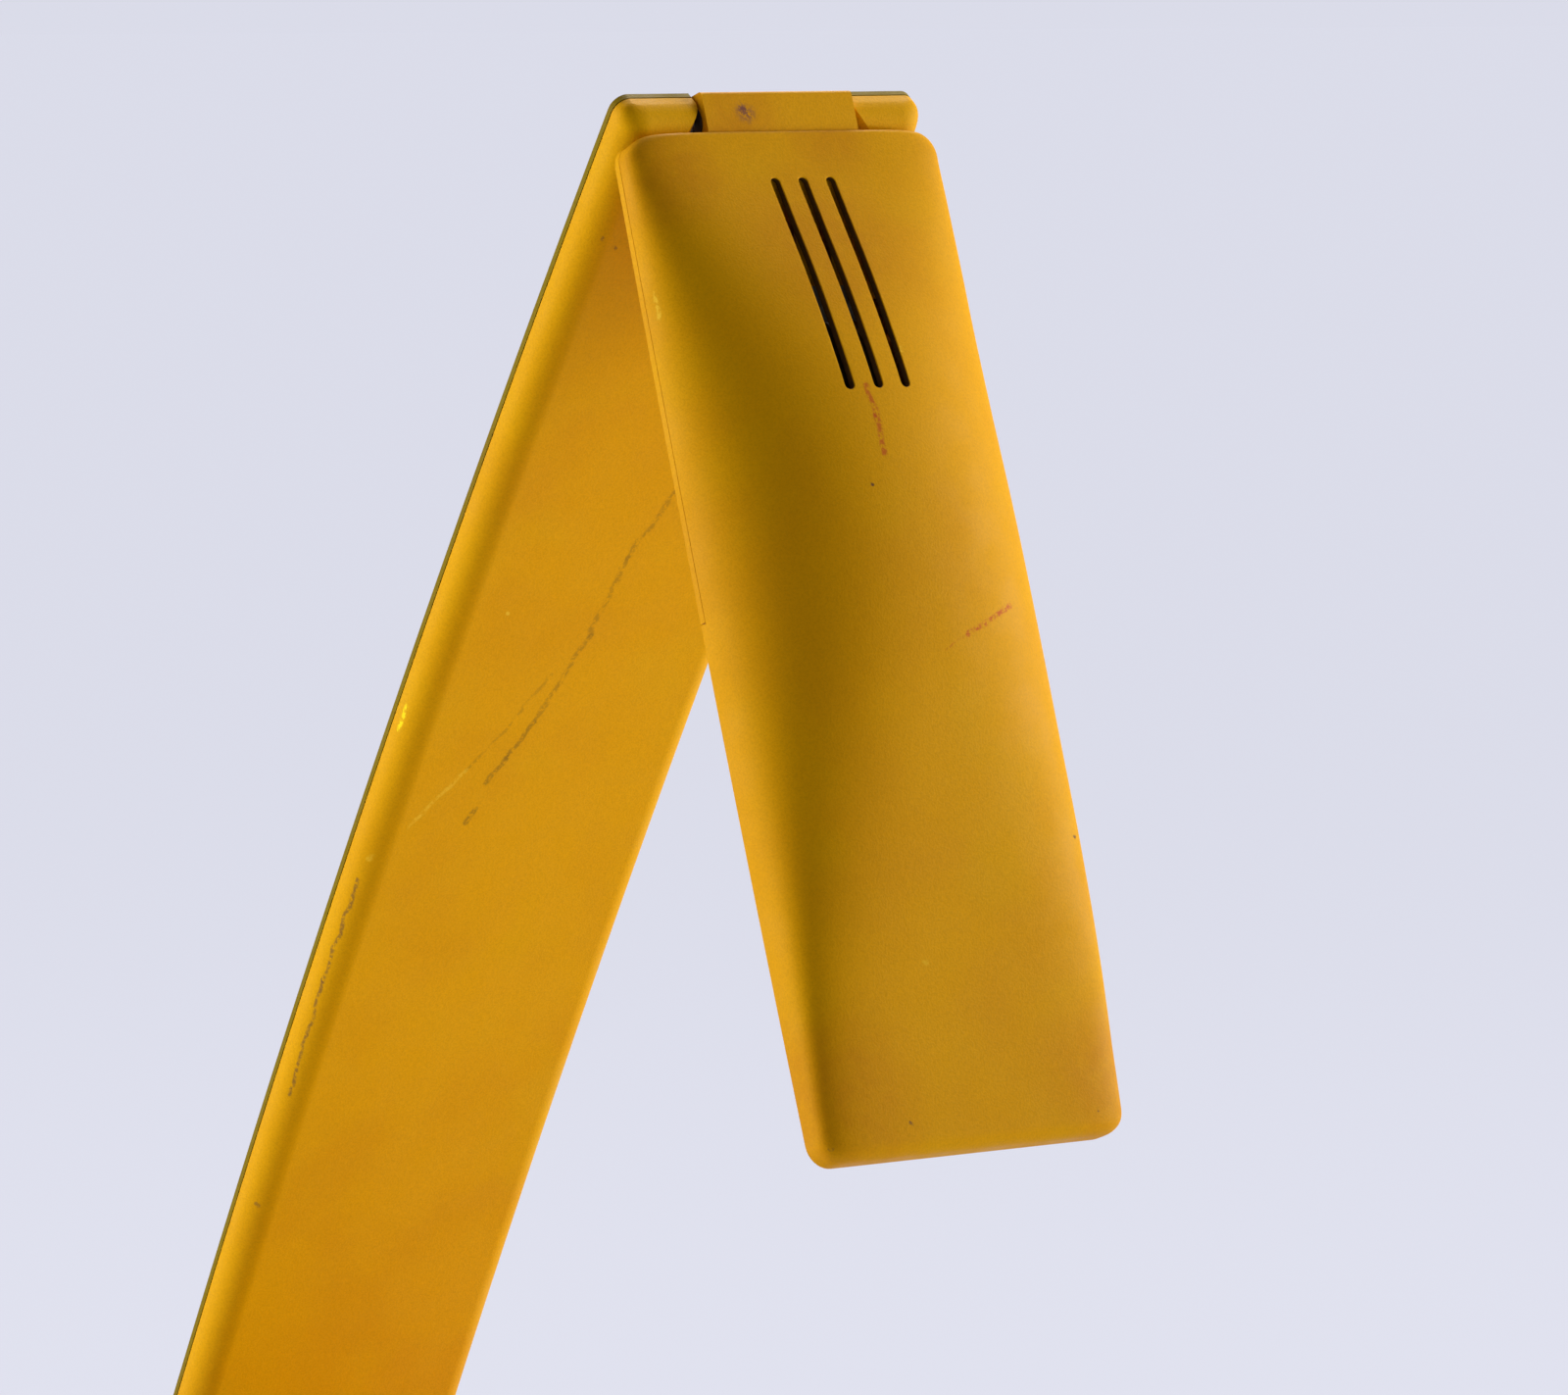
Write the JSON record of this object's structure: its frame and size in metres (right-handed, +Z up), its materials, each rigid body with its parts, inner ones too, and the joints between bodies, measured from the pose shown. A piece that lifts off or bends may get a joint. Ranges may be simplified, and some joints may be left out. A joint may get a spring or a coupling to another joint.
{
  "type": "folding desk lamp",
  "caption": "Folding halogen desk lamp: weighted base, slim bowed arm on a hinge, and a domed, slotted head that folds down over the arm.",
  "frame": {"origin": "centre of the foot pad's underside, on the desk", "axes": "+Z up, +X along the hinge pins, -Y towards the front, where the head hangs"},
  "size_m": [0.104, 0.307, 0.3838],
  "materials": {
    "yellow_abs": "fine spark-eroded grain, aged orange-yellow",
    "olive_abs": "smooth, slightly browned yellow",
    "steel": "zinc-plated",
    "dark_steel": "black oxide",
    "iron_weight": "rough casting",
    "reflector_aluminium": "polished bowl",
    "copper": "enamelled copper",
    "rubber": "matt foam rubber",
    "black_plastic": "semi-gloss",
    "ceramic": "unglazed steatite",
    "clear_glass": "clear"
  },
  "bodies": {
    "base": {"foot_pad": "rubber", "base_plate": "dark_steel", "base_cover": "yellow_abs", "transformer_core": "dark_steel", "transformer_coil": "copper", "transformer_strap": "steel", "counterweight": "iron_weight", "terminal_block": "ceramic", "cord_gland": "black_plastic", "switch_housing": "black_plastic", "base_screw_1": "steel", "base_screw_2": "steel", "base_screw_3": "steel", "base_screw_4": "steel", "strap_screw_1": "steel", "strap_screw_2": "steel"},
    "rocker": {"switch_rocker": "black_plastic"},
    "arm": {"arm_front_cover": "yellow_abs", "arm_back_plate": "olive_abs", "arm_stiffener": "steel", "arm_lead_left": "copper", "arm_lead_right": "copper", "arm_screw_1": "steel", "arm_screw_2": "steel", "arm_screw_3": "steel", "arm_screw_4": "steel", "arm_screw_5": "steel", "arm_screw_6": "steel", "upper_hinge_pin": "steel", "upper_washer_left": "black_plastic", "upper_washer_right": "black_plastic", "lower_hinge_pin": "steel", "lower_washer_left": "black_plastic", "lower_washer_right": "black_plastic"},
    "head": {"head_shell": "yellow_abs", "head_frame": "yellow_abs", "head_under_cover": "yellow_abs", "frame_screw_1": "steel", "frame_screw_2": "steel", "frame_screw_3": "steel", "frame_screw_4": "steel", "cover_screw_1": "steel", "cover_screw_2": "steel", "safety_glass": "clear_glass", "reflector": "reflector_aluminium", "lampholder": "ceramic", "lamp_capsule": "clear_glass", "lamp_pin_left": "steel", "lamp_pin_right": "steel", "head_lead_left": "copper", "head_lead_right": "copper"}
  },
  "joints": [
    {"name": "base_hinge", "type": "hinge", "parent": "base", "child": "arm", "pos_m": [0, 0.092, 0.054], "axis": [1, 0, 0], "range_deg": [-40, 56]},
    {"name": "head_hinge", "type": "hinge", "parent": "arm", "child": "head", "pos_m": [0, -0.10678, 0.3771], "axis": [1, 0, 0], "range_deg": [-71, 46.4]},
    {"name": "switch_rocker", "type": "hinge", "parent": "base", "child": "rocker", "pos_m": [0.027, -0.042, 0.0295], "axis": [1, 0, 0], "range_deg": [0, 16]}
  ]
}
